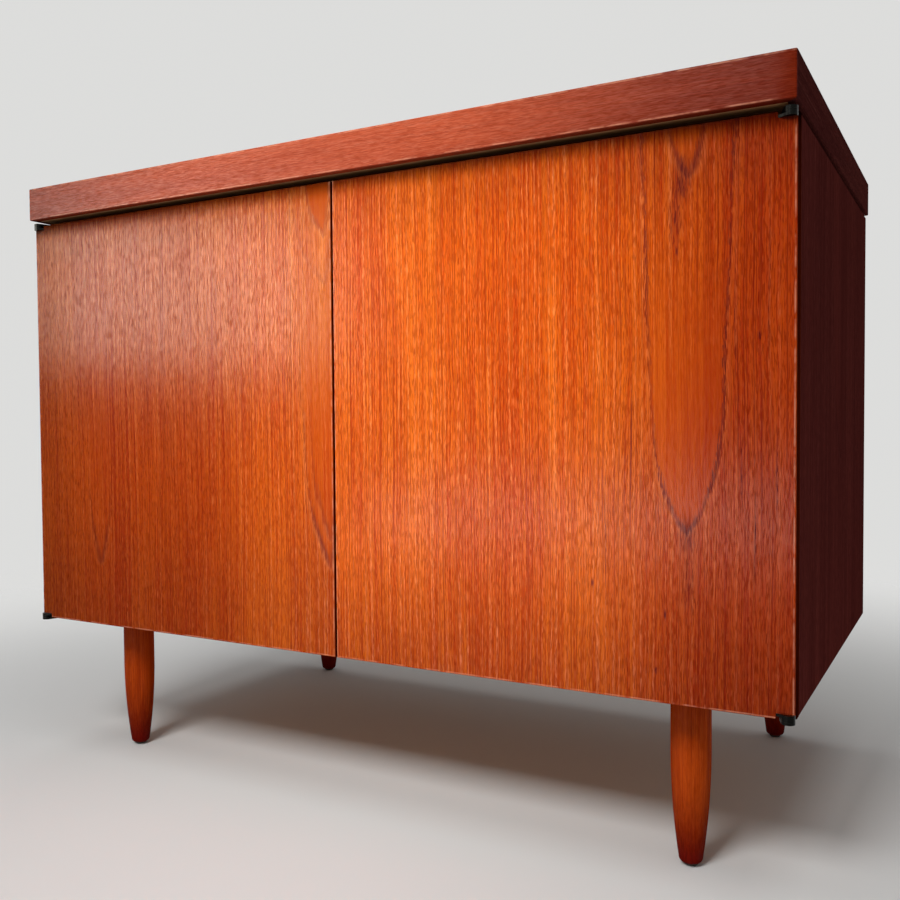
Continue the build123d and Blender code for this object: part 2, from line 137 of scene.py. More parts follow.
class Recipe:
    """The node tree of one material, or of the world."""

    def __init__(self, owner: Union[bpy.types.Material, bpy.types.World]) -> None:
        """Start with an empty tree.

        Args:
            owner: What the tree belongs to.
        """
        owner.use_nodes = True
        self.owner = owner
        self.tree = owner.node_tree
        self.tree.nodes.clear()

    def node(
        self,
        kind: str,
        settings: Optional[Dict[str, Any]] = None,
        sockets: Optional[Dict[Union[str, int], Any]] = None,
        output: Union[str, int] = 0,
    ) -> Wire:
        """Add a node.

        Args:
            kind: The node's type.
            settings: Its properties, set first.
            sockets: Values or links of its inputs.
            output: Which output is returned.

        Returns:
            That output.
        """
        made = self.tree.nodes.new(kind)
        for key, value in (settings or {}).items():
            setattr(made, key, value)
        for key, value in (sockets or {}).items():
            if isinstance(value, Wire):
                self.tree.links.new(value.socket, made.inputs[key])
            else:
                made.inputs[key].default_value = value
        return Wire(self, made.outputs[output] if made.outputs else None)

    def place(self) -> Tuple[Wire, Wire, Wire]:
        """Where the point is at rest.

        Returns:
            Its X, Y and Z.
        """
        point = self.node("ShaderNodeTexCoord", output="Object")
        split = [self.node("ShaderNodeSeparateXYZ", None, {0: point}, axis) for axis in "XYZ"]
        return split[0], split[1], split[2]

    def vector(self, x: Number, y: Number, z: Number) -> Wire:
        """Three values as one vector."""
        return self.node("ShaderNodeCombineXYZ", None, {0: x, 1: y, 2: z})

    def cells(self, place: Sequence[Wire], *rates: float) -> Wire:
        """A place counted in cells of noise.

        Args:
            place: X, Y and Z.
            rates: Cells per metre, one for all axes or one for each.

        Returns:
            The place, scaled.
        """
        each = rates * 3 if len(rates) == 1 else rates
        return self.vector(*(axis * rate for axis, rate in zip(place, each)))

    def noise(self, point: Wire, detail: float = 2.0, roughness: float = 0.5) -> Wire:
        """Smooth noise from 0 to 1 about once per unit.

        Args:
            point: Where it is read, already scaled.
            detail: How many finer layers it has.
            roughness: How strong those are.

        Returns:
            The noise.
        """
        sockets = {"Vector": point, "Scale": 1.0, "Detail": detail, "Roughness": roughness}
        return self.node("ShaderNodeTexNoise", None, sockets)

    def bands(self, place: Wire, detail: float = 1.0) -> Wire:
        """Noise along one value, for growth rings."""
        sockets = {"W": place, "Scale": 1.0, "Detail": detail}
        return self.node("ShaderNodeTexNoise", {"noise_dimensions": "1D"}, sockets)

    def blend(self, first: Tint, second: Tint, share: Number, kind: str = "MIX") -> Wire:
        """Mix two colours.

        Args:
            first: The colour at share 0.
            second: The colour at share 1.
            share: How much of the second.
            kind: How they are combined.

        Returns:
            The mixed colour.
        """
        pair = [value if isinstance(value, Wire) else (*value, 1.0) for value in (first, second)]
        settings = {"data_type": "RGBA", "blend_type": kind}
        return self.node("ShaderNodeMix", settings, {0: share, 6: pair[0], 7: pair[1]}, 2)

    def surface(
        self,
        sockets: Dict[str, Any],
        relief: Optional[Wire] = None,
        depth: float = 0.0,
    ) -> bpy.types.Material:
        """Finish the material with one shader.

        Args:
            sockets: The shader's inputs.
            relief: A height from 0 to 1 for fine bumps.
            depth: The height of 1 in metres.

        Returns:
            The material.
        """
        filled = dict(sockets)
        if relief is not None:
            bump = {"Strength": 1.0, "Distance": depth, "Height": relief}
            filled["Normal"] = self.node("ShaderNodeBump", None, bump)
        shader = self.node("ShaderNodeBsdfPrincipled", None, filled)
        self.node("ShaderNodeOutputMaterial", None, {"Surface": shader})
        return self.owner


class Grain(Enum):
    """Axes along the grain, across it and into the wood."""

    UPRIGHT_FRONT = ("Z", "X", "Y")
    UPRIGHT_SIDE = ("Z", "Y", "X")
    LEVEL_FRONT = ("X", "Z", "Y")
    LEVEL_TOP = ("X", "Y", "Z")
    DEEP_SIDE = ("Y", "Z", "X")


@dataclass(frozen=True)
class Layer:
    """A layer of noise in the grain: cells per metre across and along it, and its finer layers."""

    across: float
    along: float
    detail: float = 1.0


WAVER = Layer(60.0, 7.0)
BROAD = Layer(12.0, 1.4)
MIDDLE = Layer(60.0, 3.0)
COLUMNS = Layer(170.0, 2.5)
LINES = Layer(640.0, 3.5, 2.0)
FIBRES = Layer(1200.0, 24.0, 2.0)
FLECKS = Layer(1150.0, 90.0)
PORES = Layer(1300.0, 100.0)
BREAKS = Layer(45.0, 11.0, 2.0)
# How far the grain drifts aside, from slow bends to short waves
DRIFTS = (
    (Layer(5.0, 2.0), 5.0 * MM),
    (Layer(20.0, 8.0), 2.2 * MM),
    (Layer(120.0, 30.0), 0.3 * MM),
)


@dataclass(frozen=True)
class Arch:
    """A flame in the figure: one arch of a growth ring, open towards the end of the board."""

    centre: float
    tip: float
    left: float
    right: float
    reach: float
    fade: float
    strength: float
    width: float = 2.4 * MM
    calm: float = 0.4
    fill: float = 0.0
    flare: float = 0.08
    closing: float = 0.11
    tip_swell: float = 1.5

    def off(self, across: Wire, along: Wire) -> Wire:
        """Distance across the grain from the arch, less than 0 inside it.

        Args:
            across: Place across the grain.
            along: Place along the grain.

        Returns:
            The distance in metres.
        """
        aside = across - self.centre
        half = aside.over(0.0) * (self.right - self.left) + self.left
        rise = ((along - self.tip) * (1.0 / self.reach)).most(0.0)
        opened = (1.0 - self.closing ** rise) * (rise * self.flare + 1.0)
        below = (self.tip - along).most(0.0)
        return abs(aside) - half * opened + below

    def inside(self, off: Wire, along: Wire) -> Wire:
        """How far a point is inside the arch, fading above its tip.

        Args:
            off: Distance from the arch.
            along: Place along the grain.

        Returns:
            A share from 0 to 1.
        """
        low = along.step(self.tip + 4 * self.reach, self.tip + self.reach)
        return off.step(1.0 * MM, -4.0 * MM) * low

    def outline(self, off: Wire, along: Wire, jitter: Wire) -> Wire:
        """How strong its outline is.

        Args:
            off: Distance from the outline's middle.
            along: Place along the grain.
            jitter: Fine drift of the outline.

        Returns:
            The strength from 0 up.
        """
        wide = (along.step(self.tip + 0.7 * self.reach, self.tip) * self.tip_swell + 1.0) * self.width
        near = abs(off + jitter).step(wide, wide * 0.1)
        return near * along.step(self.tip + self.fade, self.tip) * self.strength


@dataclass(frozen=True)
class Face:
    """Limits of a panel's show face along and across the grain, and the depth of it and of its back."""

    along: Tuple[float, float]
    across: Tuple[float, float]
    front: float
    rear: float
    # How far down the face the painted shade of the lid reaches on the lacquer's reflection
    shade_reach: float = 28.0 * MM
    skin: Tuple[float, float] = (1.0 * MM, 2.2 * MM)
    back_skin: Tuple[float, float] = (0.1 * MM, 0.4 * MM)

    def shown(self, depth: Wire) -> Wire:
        """1 on the face and 0 behind it."""
        return abs(depth - self.front).step(self.skin[1], self.skin[0])

    def gloss_outside_shade(self, along: Wire) -> Wire:
        """How much of the lacquer's reflection shows: a painted shade of the lid fades it near the far
        end of the grain.
        """
        return along.step(self.along[1], self.along[1] - self.shade_reach)

    def edge(self, depth: Wire) -> Wire:
        """1 on the panel's edges and 0 on its face and back."""
        before_back = abs(depth - self.rear).step(*self.back_skin)
        return abs(depth - self.front).step(*self.skin) * before_back

    def arris(self, along: Wire, across: Wire) -> Wire:
        """1 in a thin band along the face's edges, save the sheltered one at the far end of the grain; it
        places a painted highlight.
        """
        near = (across - self.across[0]).least(self.across[1] - across).least(along - self.along[0])
        return near.step(2.6 * MM, 1.6 * MM) * near.step(0.4 * MM, 1.1 * MM)


@dataclass(frozen=True)
class Streak:
    """A dark mineral streak or a speck in the wood."""

    across: float
    along: float
    half_width: float
    half_length: float
    strength: float

    def mask(self, across: Wire, along: Wire) -> Wire:
        """How dark it is, from its middle out.

        Args:
            across: Place across the grain.
            along: Place along the grain.

        Returns:
            The strength from 0 up.
        """
        wide = abs(across - self.across).step(self.half_width, 0.0)
        tall = abs(along - self.along).step(self.half_length, 0.0)
        return wide * tall * self.strength


@dataclass(frozen=True)
class PaintedShade:
    """A drift of the wood's colour along one axis, used for painted light and shade: light falloff,
    painted shadows and painted shade in gaps.
    """

    axis: str
    start: float
    end: float
    tint: Colour


@dataclass(frozen=True)
class Teak:
    """Lacquered teak: stripes, arches, light flecks, dark pores and threads."""

    name: str
    grain: Grain
    light: Colour
    deep: Colour
    pore: Colour
    line: Colour
    fleck: Colour
    arches: Tuple[Arch, ...] = ()
    streaks: Tuple[Streak, ...] = ()
    # Painted light and shade laid over the wood's colour, each along one axis
    painted_shades: Tuple[PaintedShade, ...] = ()
    face: Optional[Face] = None
    stripe_rate: float = 250.0
    fleck_mix: float = 0.62
    pore_mix: float = 0.75
    streak_mix: float = 1.0
    sway: float = 1.0
    roughness: float = 0.22
    gloss: float = 0.10
    # Painted shade on the panel's edges, and the colour of a painted highlight along the face's rim
    edge_shade: Colour = (0.20, 0.22, 0.5)
    edge_highlight: Colour = (0.76, 0.34, 0.20)
    wear_rate: float = 70.0
    seed: float = 0.0
    lining: Optional["Teak"] = None
    lining_depth: float = 0.0
    lining_edge: Tuple[float, float] = (0.6 * MM, 0.2 * MM)
    relief_depth: float = 0.05 * MM

    def material(self) -> bpy.types.Material:
        """Make the finish.

        Returns:
            The material.
        """
        recipe = Recipe(bpy.data.materials.new(self.name))
        axes = dict(zip("XYZ", recipe.place()))
        along, across, depth = (axes[axis] for axis in self.grain.value)
        moved = across + self._wander(recipe, along, across, depth)
        colour, relief = self._figure(recipe, along, moved, depth)
        if self.lining:
            start, end = (self.lining_depth + edge for edge in self.lining_edge)
            inside = abs(depth).step(start, end)
            colour = recipe.blend(colour, self.lining._figure(recipe, along, moved, depth)[0], inside)
        gloss: Number = (relief * 1.2 + 0.3) * self.gloss if self.gloss else 0.0
        # Painted light and shade: each drift multiplies the colour along its axis
        for shade in self.painted_shades:
            drift = axes[shade.axis].step(shade.start, shade.end)
            colour = recipe.blend(colour, shade.tint, drift, "MULTIPLY")
        if self.face:
            shown = self.face.shown(depth)
            # The lacquer's reflection fades under the lid: a painted shade
            gloss = gloss * shown * self.face.gloss_outside_shade(along)
            patchy = recipe.noise(recipe.cells(list(axes.values()), self.wear_rate), 2.0)
            # A painted highlight along the face's rim, broken in patches
            worn = self.face.arris(along, across) * shown * patchy.step(0.36, 0.62)
            # Painted shade on the panel's edges
            colour = recipe.blend(colour, self.edge_shade, self.face.edge(depth), "MULTIPLY")
            colour = recipe.blend(colour, self.edge_highlight, worn * 0.4)
        sockets = {
            "Base Color": colour,
            "Roughness": 0.6,
            "Specular IOR Level": 0.0,
            "Coat Weight": gloss,
            "Coat Roughness": self.roughness,
        }
        return recipe.surface(sockets, relief, self.relief_depth)

    def _layer(self, recipe: Recipe, layer: Layer, along: Wire, across: Wire, depth: Wire) -> Wire:
        """One layer of noise, drawn out along the grain.

        Args:
            recipe: The material being made.
            layer: Its rates.
            along: Place along the grain.
            across: Place across the grain.
            depth: Place into the wood.

        Returns:
            The noise from 0 to 1.
        """
        x, y, z = across * layer.across, along * layer.along + self.seed, depth * layer.across
        return recipe.noise(recipe.vector(x, y, z), layer.detail)

    def _wander(self, recipe: Recipe, along: Wire, across: Wire, depth: Wire) -> Wire:
        """How far the grain drifts aside.

        Args:
            recipe: The material being made.
            along: Place along the grain.
            across: Place across the grain.
            depth: Place into the wood.

        Returns:
            The drift in metres.
        """
        total: Optional[Wire] = None
        for layer, reach in DRIFTS:
            noise = self._layer(recipe, layer, along, across, depth)
            drift = (noise - 0.5) * (2 * reach * self.sway)
            total = drift if total is None else total + drift
        return total

    def _figure(self, recipe: Recipe, along: Wire, moved: Wire, depth: Wire) -> Tuple[Wire, Wire]:
        """Colour and fine relief of the bare wood.

        Args:
            recipe: The material being made.
            along: Place along the grain.
            moved: Place across the grain, with its wander.
            depth: Place into the wood.

        Returns:
            The colour, and a relief from 0 to 1.
        """

        def grained(layer: Layer) -> Wire:
            """One layer at this point."""
            return self._layer(recipe, layer, along, moved, depth)

        offs = [arch.off(moved, along) for arch in self.arches]
        insides = [arch.inside(off, along) for arch, off in zip(self.arches, offs)]
        near: Number = abs(offs[0]).step(40.0 * MM, 0.0) if offs else 0.0
        busy: Number = 1.0
        plain: Number = 1.0
        for arch, inside in zip(self.arches, insides):
            busy = (1.0 - inside * arch.calm) * busy
            plain = (1.0 - inside * arch.fill) * plain
        waver = grained(WAVER)
        stripes = recipe.bands(moved * self.stripe_rate + self.seed).step(0.50, 0.66)
        stripes = stripes * waver.step(0.32, 0.58) * self.streak_mix
        threads = recipe.bands(moved * (self.stripe_rate * 2.0) + self.seed).step(0.52, 0.68)
        threads = threads * waver.step(0.68, 0.42) * self.streak_mix
        broad = grained(BROAD).step(0.28, 0.72)
        middle = grained(MIDDLE)
        columns = grained(COLUMNS)
        lines = grained(LINES)
        fibre = grained(FIBRES)
        flecks = grained(FLECKS).step(0.46, 0.62)
        pores = grained(PORES).step(0.47, 0.60)
        broken = grained(BREAKS).step(0.34, 0.60) * 0.4 + 0.6
        share = broad * 0.5 + (middle - 0.5) * 0.7 + (columns - 0.5) * 0.9
        share = share + (fibre - 0.5) * 1.3 + 0.26
        share = share + (lines - 0.5) * (2.6 * self.streak_mix) * busy
        colour = recipe.blend(self.deep, self.light, share.most(0.0).least(1.0))
        colour = recipe.blend(self.deep, colour, plain)
        glint = flecks * (stripes * 0.7 + 0.35) + stripes * 0.4
        colour = recipe.blend(colour, self.fleck, glint * busy * self.fleck_mix)
        dark = (pores * 0.65).most(threads * (near * 0.3 + 0.7))
        colour = recipe.blend(colour, self.pore, dark * busy * self.pore_mix)
        jitter = (fibre - 0.5) * (6.0 * MM) + (waver - 0.5) * (8.0 * MM) + (flecks - 0.5) * (2.0 * MM)
        for arch, off in zip(self.arches, offs):
            beside = arch.outline(off - 1.6 * arch.width, along, jitter)
            lit = beside * (flecks * 0.4 + lines * 0.5) * broken
            colour = recipe.blend(colour, self.fleck, lit.least(0.8))
            dark = arch.outline(off, along, jitter) * (lines * 1.1 + 0.2) * broken
            colour = recipe.blend(colour, self.line, dark.least(0.85))
        for streak in self.streaks:
            dark = streak.mask(moved, along) * (pores * 0.5 + lines * 0.9)
            colour = recipe.blend(colour, self.line, dark.least(0.85))
        relief = (flecks * 0.3 - pores * 0.7 + lines * 0.8 + 0.3).most(0.0).least(1.0)
        return colour, relief * plain


@dataclass(frozen=True)
class Metal:
    """Bare or plated metal, with cloudy tarnish and fine scratches."""

    name: str
    bright: Colour
    tarnish: Colour
    roughness: float
    worn: float = 0.4
    cloud_rate: float = 160.0
    scratch_rates: Tuple[float, float, float] = (2600.0, 240.0, 240.0)
    scratch_depth: float = 0.02

    def material(self) -> bpy.types.Material:
        """Make the finish.

        Returns:
            The material.
        """
        recipe = Recipe(bpy.data.materials.new(self.name))
        place = recipe.place()
        cloud = recipe.noise(recipe.cells(place, self.cloud_rate), 4.0, 0.65)
        scratch = recipe.noise(recipe.cells(place, *self.scratch_rates), 2.0)
        colour = recipe.blend(self.bright, self.tarnish, cloud.step(0.42, 0.66) * self.worn)
        rough = cloud * 0.22 + scratch * 0.1 + (self.roughness - 0.16)
        sockets = {"Base Color": colour, "Roughness": rough, "Metallic": 1.0}
        return recipe.surface(sockets, scratch, self.scratch_depth * MM)


@dataclass(frozen=True)
class Paint:
    """A smooth opaque coat such as enamel or moulded plastic, slightly uneven and dusty."""

    name: str
    colour: Colour
    dust: Colour
    roughness: float
    peel_rate: float = 700.0
    peel_depth: float = 0.03
    dust_mix: float = 0.25
    dust_rate: float = 60.0

    def material(self) -> bpy.types.Material:
        """Make the finish.

        Returns:
            The material.
        """
        recipe = Recipe(bpy.data.materials.new(self.name))
        place = recipe.place()
        peel = recipe.noise(recipe.cells(place, self.peel_rate), 1.0)
        cloud = recipe.noise(recipe.cells(place, self.dust_rate), 4.0, 0.6)
        colour = recipe.blend(self.colour, self.dust, cloud.step(0.45, 0.75) * self.dust_mix)
        rough = cloud * 0.2 + (self.roughness - 0.1)
        sockets = {"Base Color": colour, "Roughness": rough, "Specular IOR Level": 0.4}
        return recipe.surface(sockets, peel, self.peel_depth * MM)


@dataclass(frozen=True)
class Fibre:
    """A mat of short fibres such as hardboard or felt."""

    name: str
    light: Colour
    dark: Colour
    rate: float
    relief: float
    clump: float = 0.12
    lie: float = 0.55

    def material(self) -> bpy.types.Material:
        """Make the finish.

        Returns:
            The material.
        """
        recipe = Recipe(bpy.data.materials.new(self.name))
        place = recipe.place()
        coarse = recipe.noise(recipe.cells(place, self.rate * self.clump), 3.0)
        strands = recipe.noise(recipe.cells(place, self.rate, self.rate, self.rate * self.lie), 4.0, 0.7)
        share = coarse * 0.45 + strands * 0.8 - 0.2
        colour = recipe.blend(self.dark, self.light, share.most(0.0).least(1.0))
        sockets = {"Base Color": colour, "Roughness": 0.85, "Specular IOR Level": 0.15}
        return recipe.surface(sockets, strands, self.relief * MM)


DOOR_LIGHT: Colour = (0.82, 0.150, 0.006)
DOOR_DEEP: Colour = (0.56, 0.050, 0.002)
DOOR_PORE: Colour = (0.24, 0.019, 0.004)
DOOR_LINE: Colour = (0.15, 0.018, 0.018)
DOOR_FLECK: Colour = (0.96, 0.25, 0.050)
# Painted shade in the gap between the doors, on both door edges
GAP_SHADE: Colour = (0.35, 0.20, 0.30)
DOOR_HEIGHT = (0.1784, 0.7111)
DOOR_DEPTH = (-0.2705, -0.2525)

INNER_WOOD = Teak(
    "inner_wood", Grain.UPRIGHT_SIDE, (0.56, 0.27, 0.11), (0.44, 0.18, 0.065), (0.28, 0.10, 0.04),
    (0.24, 0.09, 0.04), (0.64, 0.34, 0.16), seed=81.0, roughness=0.5, fleck_mix=0.4, pore_mix=0.35,
)


@dataclass
class Finishes:
    """Every finish of the table."""

    right_door: Teak = Teak(
        "right_door_teak", Grain.UPRIGHT_FRONT, DOOR_LIGHT, DOOR_DEEP, DOOR_PORE, DOOR_LINE, DOOR_FLECK,
        arches=(
            Arch(0.3955, 0.340, 0.030, 0.032, 0.077, 1.60, 0.95, 2.2 * MM, calm=0.75),
            Arch(0.400, 0.668, 0.021, 0.013, 0.050, 0.20, 0.8, 3.0 * MM),
        ),
        streaks=(
            Streak(0.394, 0.664, 0.012, 0.030, 1.1), Streak(0.396, 0.338, 0.013, 0.026, 0.9),
            Streak(0.387, 0.630, 0.010, 0.045, 0.8), Streak(0.388, 0.598, 0.0018, 0.006, 1.6),
            Streak(0.398, 0.295, 0.012, 0.050, 0.5), Streak(0.304, 0.287, 0.0018, 0.005, 1.6),
            Streak(0.376, 0.262, 0.0018, 0.008, 1.6), Streak(0.368, 0.209, 0.0020, 0.005, 1.6),
            Streak(0.463, 0.518, 0.0018, 0.006, 1.6), Streak(0.446, 0.395, 0.0016, 0.050, 1.0),
            Streak(0.458, 0.338, 0.0016, 0.060, 1.1), Streak(0.4765, 0.391, 0.0018, 0.060, 1.0),
            Streak(0.441, 0.540, 0.0014, 0.090, 0.8), Streak(0.470, 0.560, 0.0014, 0.080, 0.9),
            Streak(0.343, 0.420, 0.0014, 0.110, 0.7), Streak(0.318, 0.330, 0.0014, 0.090, 0.7),
        ),
        # Painted light and shade: darker towards the right edge where the light falls off, darker towards
        # the bottom with a little blue of a painted floor reflection, painted shade at the gap between
        # the doors, and a painted shadow of the lid along the top
        painted_shades=(
            PaintedShade("X", 0.26, 0.48, (0.51, 0.31, 0.30)), PaintedShade("Z", 0.33, 0.17, (0.68, 0.68, 1.2)),
            PaintedShade("X", 2.1 * MM, 1.3 * MM, GAP_SHADE),
            PaintedShade("Z", 0.688, 0.713, (0.16, 0.14, 0.24)), PaintedShade("Z", 0.62, 0.70, (0.78, 0.80, 1.0)),
        ),
        face=Face(DOOR_HEIGHT, (0.001, 0.494), *DOOR_DEPTH), seed=3.0,
    )
    left_door: Teak = Teak(
        "left_door_teak", Grain.UPRIGHT_FRONT, DOOR_LIGHT, DOOR_DEEP, DOOR_PORE, DOOR_LINE, DOOR_FLECK,
        arches=(
            Arch(-0.009, 0.282, 0.036, 0.020, 0.150, 0.30, 0.8, 2.4 * MM, calm=0.5, fill=0.2),
            Arch(-0.008, 0.312, 0.026, 0.012, 0.130, 0.25, 0.6, 2.0 * MM, calm=0.2),
            Arch(-0.0125, 0.652, 0.025, 0.008, 0.060, 0.30, 0.4, 2.2 * MM, calm=0.9, fill=0.6),
            Arch(-0.0125, 0.600, 0.046, 0.012, 0.100, 0.25, 0.3, calm=0.0),
            Arch(-0.378, 0.262, 0.024, 0.024, 0.130, 0.16, 0.6, 2.6 * MM, calm=0.2),
        ),
        # Darker towards the left, partly the wood's tone and partly painted light falloff; a yellower
        # upper half; painted shade towards the bottom with a little blue of a painted floor reflection;
        # painted shade at and near the gap between the doors; a painted shadow of the lid along the top;
        # and painted light falloff at the far left edge
        painted_shades=(
            PaintedShade("X", 0.02, -0.26, (0.56, 0.42, 0.34)), PaintedShade("Z", 0.42, 0.58, (1.0, 1.18, 1.0)),
            PaintedShade("Z", 0.40, 0.17, (0.76, 0.78, 1.2)), PaintedShade("X", -2.1 * MM, -1.3 * MM, GAP_SHADE),
            PaintedShade("Z", 0.688, 0.713, (0.20, 0.17, 0.28)), PaintedShade("Z", 0.64, 0.70, (0.84, 0.88, 1.0)),
            PaintedShade("X", -0.09, -0.02, (0.87, 0.88, 1.0)), PaintedShade("X", -0.36, -0.49, (0.82, 0.86, 0.90)),
        ),
        face=Face(DOOR_HEIGHT, (-0.494, -0.001), *DOOR_DEPTH), seed=11.0, fleck_mix=0.6,
    )
    lid_front: Teak = Teak(
        "lid_front_teak", Grain.LEVEL_FRONT, (0.47, 0.082, 0.030), (0.31, 0.042, 0.014),
        (0.15, 0.020, 0.010), (0.10, 0.02, 0.012), (0.58, 0.16, 0.085),
        seed=21.0, roughness=0.34, sway=0.4, gloss=0.13,
        streak_mix=0.3, pore_mix=0.45,
        # Painted light falloff: darker towards both ends of the lid's front; its edges get a slight
        # painted shade
        painted_shades=(PaintedShade("X", 0.10, 0.50, (0.38, 0.22, 0.18)), PaintedShade("X", -0.20, -0.52, (0.62, 0.56, 0.60))),
        face=Face((-0.495, 0.495), (0.718, 0.760), -0.2795, -0.2695), edge_shade=(0.8, 0.8, 0.8),
    )
    lid_top: Teak = Teak(
        "lid_top_teak", Grain.LEVEL_TOP, (0.62, 0.110, 0.010), (0.42, 0.048, 0.004), DOOR_PORE, DOOR_LINE,
        (0.74, 0.20, 0.05), seed=31.0,
        arches=(
            Arch(-0.05, -0.14, 0.055, 0.045, 0.13, 0.90, 0.5, 3.0 * MM),
            Arch(-0.05, -0.02, 0.040, 0.033, 0.11, 0.80, 0.45, 2.6 * MM, calm=0.0),
            Arch(-0.05, 0.12, 0.026, 0.020, 0.09, 0.60, 0.4, calm=0.0),
        ),
    )
    # A dark copy of the teak for the lid's ends: a painted shade, like the side panels
    lid_end: Teak = Teak(
        "shaded_lid_end_teak", Grain.DEEP_SIDE, (0.11, 0.024, 0.020), (0.07, 0.014, 0.013), (0.04, 0.009, 0.009),
        (0.03, 0.008, 0.008), (0.15, 0.04, 0.032), seed=41.0, gloss=0.0, sway=0.4,
    )
    # A much darker copy of the door teak for the side panels' outer faces: mostly painted shade
    side: Teak = Teak(
        "side_teak", Grain.UPRIGHT_SIDE, (0.14, 0.026, 0.021), (0.085, 0.015, 0.013),
        (0.05, 0.009, 0.009), (0.04, 0.008, 0.008), (0.18, 0.042, 0.034), seed=51.0, gloss=0.0,
        arches=(Arch(0.02, 0.40, 0.060, 0.050, 0.12, 0.60, 0.6),), lining=INNER_WOOD, lining_depth=0.476,
    )
    leg: Teak = Teak(
        "leg_teak", Grain.UPRIGHT_FRONT, (0.46, 0.060, 0.003), (0.30, 0.028, 0.001), (0.13, 0.012, 0.003),
        (0.10, 0.014, 0.006), (0.52, 0.09, 0.010), seed=61.0, fleck_mix=0.25, pore_mix=0.35, gloss=0.1,
        # Darker towards the foot, and a painted shadow of the cabinet at the top of each leg
        painted_shades=(PaintedShade("Z", 0.10, 0.0, (0.32, 0.04, 0.04)), PaintedShade("Z", 0.140, 0.178, (0.72, 0.66, 0.8))),
    )
    deck: Teak = Teak(
        "deck_teak", Grain.LEVEL_TOP, (0.56, 0.15, 0.035), (0.40, 0.08, 0.018), (0.20, 0.035, 0.012),
        (0.14, 0.026, 0.014), (0.66, 0.22, 0.07), seed=71.0,
        arches=(Arch(0.06, 0.15, 0.05, 0.05, 0.12, 0.5, 0.6),),
    )
    inner: Teak = INNER_WOOD
    inner_level: Teak = Teak(
        "inner_level_wood", Grain.LEVEL_TOP, (0.56, 0.27, 0.11), (0.44, 0.18, 0.065), (0.28, 0.10, 0.04),
        (0.24, 0.09, 0.04), (0.64, 0.34, 0.16), seed=91.0, roughness=0.5, fleck_mix=0.4, pore_mix=0.35,
    )
    beech: Teak = Teak(
        "beech", Grain.UPRIGHT_FRONT, (0.66, 0.42, 0.22), (0.56, 0.33, 0.16), (0.42, 0.22, 0.10),
        (0.40, 0.2, 0.1), (0.74, 0.52, 0.30), seed=101.0,
        roughness=0.5, fleck_mix=0.3, pore_mix=0.4, gloss=0.2,
    )
    back: Fibre = Fibre("back_board", (0.34, 0.19, 0.09), (0.20, 0.10, 0.045), 420.0, 0.12)
    felt: Fibre = Fibre("pad_felt", (0.09, 0.075, 0.06), (0.03, 0.026, 0.022), 1400.0, 0.3)
    # Nearly black: a painted shade for the dark surroundings that the door hinges reflect
    hinge: Metal = Metal("hinge_metal", (0.010, 0.010, 0.009), (0.003, 0.003, 0.003), 0.30, 0.9)
    glide: Metal = Metal("glide_steel", (0.060, 0.050, 0.042), (0.02, 0.016, 0.013), 0.45, 0.8)
    brass: Metal = Metal("lid_hinge_brass", (0.70, 0.50, 0.22), (0.34, 0.20, 0.08), 0.36, 0.5)
    zinc: Metal = Metal("zinc_steel", (0.66, 0.66, 0.64), (0.40, 0.39, 0.36), 0.36, 0.5)
    enamel: Paint = Paint("lift_steel", (0.045, 0.047, 0.050), (0.12, 0.11, 0.10), 0.36)
    knob: Paint = Paint("lock_plastic", (0.012, 0.012, 0.013), (0.06, 0.055, 0.05), 0.32)
    catch: Paint = Paint("catch_plastic", (0.10, 0.045, 0.02), (0.2, 0.13, 0.08), 0.45)

    ready: Dict[str, bpy.types.Material] = field(default_factory=dict)

    def made(self, finish: Union[Teak, Metal, Paint, Fibre]) -> bpy.types.Material:
        """The material of a finish, made once.

        Args:
            finish: The finish.

        Returns:
            Its material.
        """
        if finish.name not in self.ready:
            self.ready[finish.name] = finish.material()
        return self.ready[finish.name]


